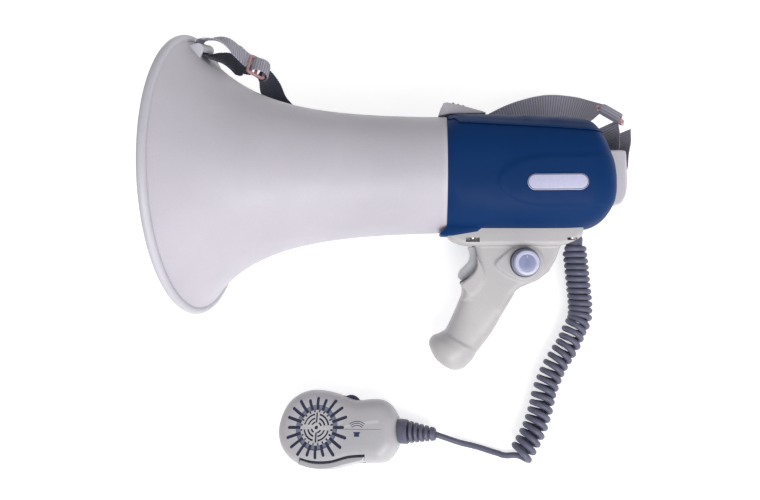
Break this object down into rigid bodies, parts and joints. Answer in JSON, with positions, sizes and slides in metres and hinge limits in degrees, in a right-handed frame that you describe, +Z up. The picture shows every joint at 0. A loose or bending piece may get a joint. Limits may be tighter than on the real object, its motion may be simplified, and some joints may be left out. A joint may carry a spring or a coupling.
{
  "type": "handheld megaphone",
  "caption": "Handheld megaphone with a flared horn, pistol grip, battery housing, carrying strap and a hand microphone on a curly cord, lying on its side.",
  "frame": {"origin": "on the surface the megaphone lies on, under the middle of the bounding box of the megaphone and its microphone", "axes": "+X from the bell's mouth towards the rear, +Y from the grip's butt and the microphone across to the battery lid, +Z up from the surface"},
  "size_m": [0.3764, 0.343, 0.225],
  "materials": {
    "horn_white": "fine texture",
    "housing_blue": "fine texture",
    "grip_white": "fine texture",
    "knob_dark": "ribbed",
    "knob_cap": "milky",
    "label_pale": "printed",
    "black_plastic": "matte",
    "cord_grey": "satin",
    "webbing_grey": "ribbed weave",
    "buckle_copper": "satin",
    "mic_white": "fine texture",
    "mic_dark": "matte",
    "circuit_board": "satin",
    "cell_wrap": "printed",
    "steel": "satin",
    "magnet": "matte"
  },
  "bodies": {
    "megaphone": {"horn_bell": "horn_white", "bell_rim_guard": "horn_white", "reflector_cup": "horn_white", "reflector_stay_1": "horn_white", "reflector_stay_2": "horn_white", "reflector_stay_3": "horn_white", "tone_tube": "horn_white", "strap_lug_front": "horn_white", "driver_frame": "black_plastic", "driver_diaphragm": "steel", "driver_magnet": "magnet", "rear_housing": "housing_blue", "lid_hinge_pin": "steel", "name_plate": "label_pale", "rear_cap": "horn_white", "battery_tray": "black_plastic", "cell_1": "cell_wrap", "cell_2": "cell_wrap", "cell_3": "cell_wrap", "cell_4": "cell_wrap", "cell_5": "cell_wrap", "amplifier_board": "circuit_board", "output_transformer": "steel", "grip_shell_near": "grip_white", "grip_shell_far": "grip_white", "grip_screw_1": "steel", "grip_screw_2": "steel", "grip_screw_3": "steel", "grip_screw_4": "steel", "trigger_pivot": "steel", "trigger_switch": "black_plastic", "trigger_spring": "steel", "volume_potentiometer": "steel", "cord_gland": "cord_grey", "slide_buckle_front": "buckle_copper", "slide_buckle_rear": "buckle_copper", "strap_front_loop": "webbing_grey", "strap_main": "webbing_grey", "strap_rear_loop": "webbing_grey", "cord_coil": "cord_grey", "cord_lead": "cord_grey", "mic_strain_relief": "cord_grey", "mic_front_shell": "mic_white", "mic_back_shell": "mic_white", "mic_grille_ring": "mic_dark", "mic_grille": "mic_white", "mic_talk_switch": "black_plastic", "mic_talk_spring": "steel", "mic_capsule": "steel", "mic_board": "circuit_board"},
    "trigger": {"trigger": "grip_white"},
    "volume_knob": {"volume_ring": "knob_dark", "volume_cap": "knob_cap", "volume_shaft": "steel"},
    "battery_lid": {"battery_lid": "housing_blue"},
    "lid_latch": {"lid_latch": "horn_white"},
    "mic_talk_bar": {"mic_talk_bar": "mic_white"},
    "mic_thumbwheel": {"mic_thumbwheel": "mic_dark"}
  },
  "joints": [
    {"name": "trigger_pull", "type": "hinge", "parent": "megaphone", "child": "trigger", "pos_m": [0.06354, -0.00191, 0.04283], "axis": [0.1887, -0.3584, 0.9143], "range_deg": [0, 8], "stiffness_Nm_per_rad": 0.8, "springref_deg": -8.59, "deforming": ["trigger_spring"]},
    {"name": "volume_turn", "type": "hinge", "parent": "megaphone", "child": "volume_knob", "pos_m": [0.09838, -0.01636, 0.05185], "axis": [0.1887, -0.3584, 0.9143], "range_deg": [-270, 0]},
    {"name": "lid_open", "type": "hinge", "parent": "megaphone", "child": "battery_lid", "pos_m": [0.15107, 0.08491, 0.0588], "axis": [-0.1887, 0.3584, -0.9143], "range_deg": [0, 60]},
    {"name": "latch_slide", "type": "slide", "parent": "battery_lid", "child": "lid_latch", "axis": [-0.9794, 0, 0.2021], "range_m": [0, 0.004]},
    {"name": "talk_press", "type": "hinge", "parent": "megaphone", "child": "mic_talk_bar", "pos_m": [-0.09383, -0.1669, 0.01201], "axis": [0, 0, 1], "range_deg": [0, 3], "stiffness_Nm_per_rad": 0.8, "springref_deg": -5.73, "deforming": ["mic_talk_spring"]},
    {"name": "mic_volume_turn", "type": "hinge", "parent": "megaphone", "child": "mic_thumbwheel", "pos_m": [-0.05233, -0.1199, 0.01501], "axis": [0, 0, 1], "range_deg": [-135, 135]}
  ]
}
